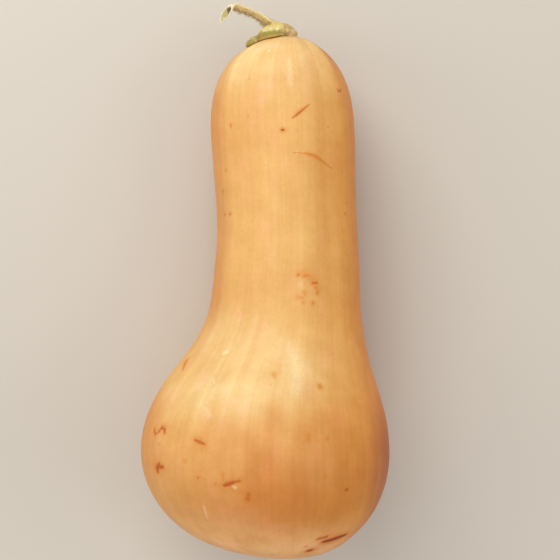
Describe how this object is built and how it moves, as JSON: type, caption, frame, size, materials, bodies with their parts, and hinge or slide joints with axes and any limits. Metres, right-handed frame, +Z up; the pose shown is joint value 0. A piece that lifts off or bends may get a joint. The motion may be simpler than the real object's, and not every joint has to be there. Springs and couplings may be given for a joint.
{
  "type": "butternut squash",
  "caption": "Whole butternut squash lying on its side, with a round bulb, a long slightly bent neck and a dry bent stem; a fresh vegetable to store, show or cook.",
  "frame": {"origin": "centre of the base of the bounding box, on the plane that the squash rests on", "axes": "+Y from the blossom end to the stem end, +Z up, +X to the right as seen from above with the stem at the top"},
  "size_m": [0.1328, 0.3014, 0.1297],
  "materials": {
    "rind": "smooth waxy rind, pale tan-orange with faint lengthwise streaks, a deeper orange band round the bulb and small brown scars",
    "dry_stem": "dry, rough and fibrous, olive-tan with a pale rim round the torn end"
  },
  "bodies": {
    "root": {"fruit": "rind", "stem": "dry_stem"}
  },
  "joints": []
}
